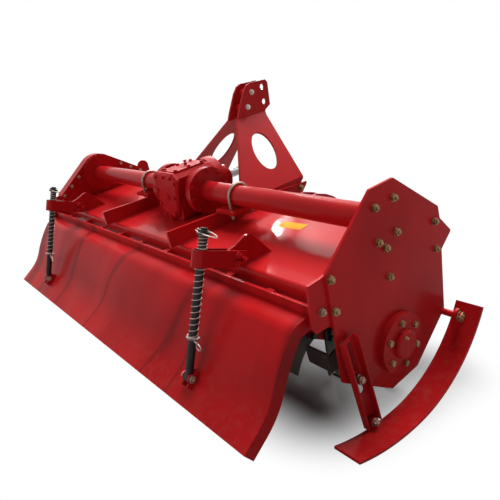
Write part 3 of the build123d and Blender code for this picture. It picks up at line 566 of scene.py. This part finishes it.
# Mast, rails, hinge plates, rod brackets and rod feet, with nuts
nutLook = {
    "size": 0.8, "mastX": 38, "mast": [(392, 306), (356, 250)],
    "railOuter": 285, "railInner": 275, "rail": (361, -96), "hingeX": 992,
    "strapSize": 0.82, "strapHalf": 22, "strap": [(116, 12.5), (116, -12.5), (138, 0)], "rodFootHalf": 17,
}
hingePin = pinOf("board_hinge")[1:]
for side, sign in bothSides:
    outward = (sign, 0, 0)
    inward = (-sign, 0, 0)
    spots = facing([(sign * nutLook["mastX"], *place) for place in nutLook["mast"]], outward)
    scatter(nutBolt, f"mastBolts_{side}", spots, zincPale, "frame", nutLook["size"])
    spots = [((sign * nutLook["railOuter"], *nutLook["rail"]), outward)]
    spots += [((sign * nutLook["railInner"], *nutLook["rail"]), inward)]
    scatter(nutBolt, f"railBolts_{side}", spots, zincGold, "frame", nutLook["size"])
    spots = facing([(sign * nutLook["hingeX"], *hingePin)], outward)
    scatter(nutBolt, f"hingeNut_{side}", spots, zincBrown, "frame", nutLook["size"])
    spots = []
    for reach, rise in nutLook["strap"]:
        middle = Vector((sign * rodX, *strapPlace)) + rodOut * reach + rodUp * rise
        aside = Vector((sign * nutLook["strapHalf"], 0, 0))
        spots += [(middle + aside, outward), (middle - aside, inward)]
    scatter(nutBolt, f"strapBolts_{side}", spots, sheetRed, "frame", nutLook["strapSize"])
    foot = Vector((sign * rodX, *rodPin))
    aside = Vector((sign * nutLook["rodFootHalf"], 0, 0))
    spots = [(foot + aside, outward), (foot - aside, inward)]
    scatter(nutBolt, f"rodFootNuts_{side}", spots, zincBrown, "board", nutLook["size"])

# Blades: two bolts through each shank and its flange, in the blades' own turned sets
rotorLook = {
    "firstFlange": -905.0, "pitch": 230.25, "flanges": 9, "blades": 6, "start": 6.0, "step": 20.0,
    "boltRadii": (64.0, 90.0), "shankFace": 13.0, "flangeFace": 5.0, "size": 0.9,
}
endHands = {0: 1, rotorLook["flanges"] - 1: -1}  # the end flanges carry blades of one hand
bladeSpots = []
for index in range(rotorLook["flanges"]):
    flangeX = rotorLook["firstFlange"] + index * rotorLook["pitch"]
    for step in range(rotorLook["blades"]):
        if index in endHands and step % 2 == 1:
            continue
        hand = endHands.get(index, 1 if step % 2 == 0 else -1)
        turn = rotorLook["start"] + step * 360 / rotorLook["blades"] + index * rotorLook["step"]
        for radius in rotorLook["boltRadii"]:
            place = ringOf(radius, 1, 0, rotorAxis, turn)[0][1:]
            bladeSpots.append(((flangeX + hand * rotorLook["shankFace"], *place), (hand, 0, 0)))
            bladeSpots.append(((flangeX - hand * rotorLook["flangeFace"], *place), (-hand, 0, 0)))
scatter(smallBolt, "bladeBolts", bladeSpots, bladeSteel, "rotor", rotorLook["size"])
for spare in (headBolt, nutBolt, smallBolt):
    bpy.data.objects.remove(spare)
print("bolts set")


# Wires and bars follow a few points on the level machine
def wire(points, thick, sides=2):
    bpy.ops.curve.primitive_nurbs_path_add(location=(0, 0, 0))
    path = bpy.context.object
    path.data.splines.clear()
    spline = path.data.splines.new("NURBS")
    spline.points.add(len(points) - 1)
    for knot, point in zip(spline.points, points):
        knot.co = (*point, 1)
    spline.order_u = 3
    spline.use_endpoint_u = True
    spline.resolution_u = 4
    path.data.dimensions = "3D"
    path.data.bevel_depth = thick
    path.data.bevel_resolution = sides
    path.data.use_fill_caps = True
    bpy.ops.object.convert(target="MESH")
    shaped = bpy.context.object
    shaped.matrix_world = placed((0, 0, 0))
    return shaped


def shifted(origin, points):
    return [Vector(origin) + Vector(point) for point in points]


def disc(point, toward, radius, thick, sides=24, hole=0.0, soften=0.8):
    # a washer, cap or pin head, standing on its point
    made = cylinder(radius, thick, sides)
    applyPlace()
    if hole:
        editEnds(made, bothEnds=True)
        bpy.ops.mesh.inset(thickness=radius - hole)
        bpy.ops.mesh.bridge_edge_loops()
        bpy.ops.object.mode_set(mode="OBJECT")
    soft = made.modifiers.new("soft", "BEVEL")
    soft.width = soften
    soft.segments = 2
    soft.limit_method = "ANGLE"
    bpy.ops.object.modifier_apply(modifier="soft")
    made.matrix_world = placed(point, aimed(toward))
    return made


# Clamp bows over the tubes, with a washer, a nut and a threaded end on each leg
clampLook = {
    "x": 342.0, "bend": 46.3, "crownShare": 1.008, "leg": -76.0, "wire": 6.2, "land": -50.0,
    "washer": 13.0, "washerSheet": 2.5, "nut": 11.5, "nutHeight": 9.0,
    "threads": 6, "threadTop": -64.0, "threadPitch": 2.0, "threadHeight": 1.2, "threadDepth": 0.5,
}
for side, sign in bothSides:
    look = clampLook
    x = sign * look["x"]
    bow = [(x, look["bend"], look["leg"]), (x, look["bend"], look["leg"] / 2)]
    bow += ringOf(look["bend"] * look["crownShare"], 18, x, tubeAxis)[:10]
    bow += [(x, -look["bend"], look["leg"] / 2), (x, -look["bend"], look["leg"])]
    parts = [wire(bow, look["wire"], 3)]
    for y in (look["bend"], -look["bend"]):
        parts.append(disc((x, y, look["land"]), down, look["washer"], look["washerSheet"], 20))
        nutPlace = (x, y, look["land"] - look["washerSheet"])
        parts.append(disc(nutPlace, down, look["nut"], look["nutHeight"], 6, soften=1.2))
        for turn in range(look["threads"]):
            threadPlace = (x, y, look["threadTop"] - turn * look["threadPitch"])
            threadRadius = look["wire"] + look["threadDepth"]
            parts.append(disc(threadPlace, down, threadRadius, look["threadHeight"], 12, soften=0.5))
    bow = gather(f"clampBow_{side}", parts, zincBrown, "frame")
    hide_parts(f"u_bolt_{side}")

# Rods: a black sleeve, a seat held by a cross pin below the spring, and a wire clip at the top
rodLook = {
    "sleeveRadius": 12.4, "sleeveStart": 24, "sleevePast": 42, "hole": 12, "wire": 1.8,
    "seatHeight": 119, "seatRadius": 21, "seatSheet": 5.5, "pinBelow": 4, "pinRadius": 4.0,
    "pinLine": [(-26, 0, 3), (0, 0, 0), (24, 0, -2)],
    "pinTail": [(-26, -5, -2), (-27, 0, 3), (-32, 6, 5)], "tailRadius": 2.6,
    "loopMiddle": (28, -2, -15), "loopRadius": 13, "loopTurns": (80, 441, 30),
    "capPast": 67.4, "capRadius": 20, "capSheet": 3.4, "clipPast": 78,
    "clipLine": [
        (-30, -2, 4), (-10, 1, 1), (12, 1, -1), (30, 3, 2), (52, 5, -6), (58, 4, -12),
        (50, 2, -13), (30, -13, -3), (12, -15, 0), (-8, -15, 1), (-22, -13, 6),
    ],
}
for side, sign in bothSides:
    look = rodLook
    foot = Vector((sign * rodX, *rodPin))
    sleeveFoot = foot + rodUp * look["sleeveStart"]
    sleeve = disc(sleeveFoot, rodUp, look["sleeveRadius"], rodSpan + look["sleevePast"], 28, soften=1.5)
    gather(f"rodSleeve_{side}", [sleeve], rodBlack, f"rod_{side}")
    seat = foot + rodUp * look["seatHeight"]
    pinAt = seat - rodUp * look["pinBelow"]
    loop = []
    for turn in [math.radians(degrees) for degrees in range(*look["loopTurns"])]:
        loop.append((look["loopRadius"] * math.cos(turn), 0, look["loopRadius"] * math.sin(turn)))
    parts = [
        disc(seat, rodUp, look["seatRadius"], look["seatSheet"], 28, look["hole"], 1.2),
        wire(shifted(pinAt, look["pinLine"]), look["pinRadius"]),
        wire(shifted(pinAt, look["pinTail"]), look["tailRadius"]),
        wire(shifted(pinAt + Vector(look["loopMiddle"]), loop), look["wire"]),
    ]
    gather(f"rodSeat_{side}", parts, zincPale, f"rod_{side}")
    cap = foot + rodUp * (rodSpan + look["capPast"])
    clipAt = foot + rodUp * (rodSpan + look["clipPast"])
    parts = [
        disc(cap, rodUp, look["capRadius"], look["capSheet"], 28, look["hole"], 1.0),
        wire(shifted(clipAt, look["clipLine"]), look["wire"]),
    ]
    gather(f"rodClip_{side}", parts, zincPale, f"rod_{side}")
print("clamps and rod fittings set")

# Bare yellow plate on the hood, with round corners
badge = {"middle": (557, 46, -105), "size": (112, 48, 1.2), "turn": 5.0, "corner": 5.0, "edge": 0.4}
bpy.ops.mesh.primitive_cube_add(size=1, location=(0, 0, 0.5))
plate = bpy.context.object
plate.scale = badge["size"]
applyPlace()
weights = plate.data.attributes.new("bevel_weight_edge", "FLOAT", "EDGE")
for edge in plate.data.edges:
    first, second = [plate.data.vertices[index].co.z for index in edge.vertices]
    weights.data[edge.index].value = 1.0 if abs(first - second) > 0.5 else 0.0
bevels = {"corners": (badge["corner"], 4, "WEIGHT"), "edges": (badge["edge"], 2, "ANGLE")}
for name, (width, segments, limit) in bevels.items():
    soft = plate.modifiers.new(name, "BEVEL")
    soft.width = width
    soft.segments = segments
    soft.limit_method = limit
    bpy.ops.object.modifier_apply(modifier=name)
plate.matrix_world = placed(badge["middle"], Matrix.Rotation(math.radians(badge["turn"]), 4, "Z"))
settle(plate, "deckPlate", signYellow, "frame")

# Gearbox breather and plug, and the bearing cap's grease nipple.
# Rows: place, radius, height, sides, hole, softening.
smallFittings = {
    "gearboxBreather": {"toward": up, "finish": castRed, "discs": [
        ((-14, 16, 96), 8, 5, 6, 0, 0.8), ((-14, 16, 101), 4, 7, 24, 0, 0.8),
        ((-14, 16, 108), 8.5, 6, 24, 0, 2.2),
    ]},
    "gearboxPlug": {"toward": rear, "finish": castRed, "discs": [
        ((14, -118, -1), 17, 3, 24, 9, 0.8), ((14, -118, -1), 11, 6, 6, 0, 1.4),
    ]},
    "greaseNipple": {"toward": right, "finish": zincGold, "discs": [
        ((1035.5, -10, -364), 6, 4, 6, 0, 0.8), ((1039, -10, -364), 3, 6, 24, 0, 0.8),
        ((1044, -10, -364), 4, 4, 24, 0, 1.6),
    ]},
}
for name, fitting in smallFittings.items():
    parts = [disc(place, fitting["toward"], *sizes) for place, *sizes in fitting["discs"]]
    gather(name, parts, fitting["finish"], "frame")

# Struts: washer, nut and stud end at the slot and at the foot.
# Rows: place along x past the web, radius, height, sides, softening.
# Skid pins: washer, pin end, and a lynch pin with its hoop.
strutLook = {
    "web": 1012.0, "stud": (-205, -395),
    "studDiscs": [(4.5, 18, 3, 4, 1.0), (7.5, 12.5, 11, 6, 1.4), (18.5, 8.2, 6, 16, 1.2)],
    "footDiscs": [(20, 14, 2.5, 20, 0.8), (22.5, 11.5, 9, 6, 1.2), (31.5, 6.5, 5, 14, 1.0)],
}
skidPinLook = {
    "washerX": 1060.5, "washer": 17, "washerSheet": 3, "hole": 11, "endX": 1071, "end": 10, "endHeight": 4,
    "lynchX": 1067, "lynchLine": [(0, -19, 9), (0, 0, 0), (0, 19, -9)], "lynchRadius": 3.0,
    "hoopOut": 7, "hoopWide": 19, "hoopTall": 15, "hoopRadius": 1.6,
}
strutPin = pinOf("strut_pivot_right")[1:]
skidPin = pinOf("skid_pivot_right")[1:]
for side, sign in bothSides:
    way = (sign, 0, 0)
    for name, discs, place, body in (
        ("strutNut", "studDiscs", strutLook["stud"], "frame"),
        ("strutFootNut", "footDiscs", strutPin, f"skid_{side}"),
    ):
        parts = []
        for past, radius, height, corners, soften in strutLook[discs]:
            at = (sign * (strutLook["web"] + past), *place)
            parts.append(disc(at, way, radius, height, corners, soften=soften))
        gather(f"{name}_{side}", parts, zincBrown, body)
    look = skidPinLook
    eye = (sign * look["lynchX"], *skidPin)
    hoop = []
    for turn in [math.radians(degrees) for degrees in range(0, 361, 40)]:
        aside = sign * look["hoopOut"] * math.sin(turn / 2)
        hoop.append((aside, look["hoopWide"] * math.cos(turn), look["hoopTall"] * math.sin(turn)))
    parts = [
        disc((sign * look["washerX"], *skidPin), way, look["washer"], look["washerSheet"], 24, look["hole"]),
        disc((sign * look["endX"], *skidPin), way, look["end"], look["endHeight"], 20, soften=1.5),
        wire(shifted(eye, look["lynchLine"]), look["lynchRadius"]),
        wire(shifted(eye, hoop), look["hoopRadius"]),
    ]
    gather(f"skidPin_{side}", parts, zincGold, "frame")
print("fittings set")

# Weld beads, with a ripple every few millimetres, along the rails, gussets, beam and lugs
weldLook = {
    "thick": 3.2, "ripple": 0.7, "step": 6.0, "ringSteps": 44,
    "railX": (285.5, 274.5), "railY": (-244, 220), "gussetX": (655.5, 644.5), "gussetY": (-246, -140),
    "hoodZ": -104,
    "beamX": 274.5, "beamLine": [(120, -62), (330, -76)],
    "lugX": (371, 385, 439, 453), "lugY": 256, "lugZ": (-84, -178),
    "tubeRadius": 41, "discX": 151, "tubeEnds": (979, -939),
}


def bead(start, end):
    run = Vector(end) - Vector(start)
    count = max(4, round(run.length / weldLook["step"]))
    points = []
    for index in range(count + 1):
        sway = weldLook["ripple"] * (1 if index % 2 else -1)
        points.append(Vector(start) + run * index / count + Vector((sway * 0.5, 0, sway)))
    return wire(points, weldLook["thick"], 1)


def ringBead(x):
    points = []
    for index in range(weldLook["ringSteps"] + 1):
        turn = math.tau * index / weldLook["ringSteps"]
        radius = weldLook["tubeRadius"] + weldLook["ripple"] * (1 if index % 2 else -1)
        points.append((x, radius * math.cos(turn), radius * math.sin(turn)))
    return wire(points, weldLook["thick"], 1)


for side, sign in bothSides:
    look = weldLook
    beads = []
    for across, lengthwise in ((look["railX"], look["railY"]), (look["gussetX"], look["gussetY"])):
        for x in across:
            beads.append(bead(*[(sign * x, y, look["hoodZ"]) for y in lengthwise]))
    beads.append(bead(*[(sign * look["beamX"], *place) for place in look["beamLine"]]))
    beads.append(ringBead(sign * look["discX"]))
    for x in look["lugX"]:
        beads.append(bead(*[(sign * x, look["lugY"], z) for z in look["lugZ"]]))
    gather(f"weldBeads_{side}", beads, castRed, "frame")
gather("tubeEndBeads", [ringBead(x) for x in weldLook["tubeEnds"]], castRed, "frame")
print("beads laid")
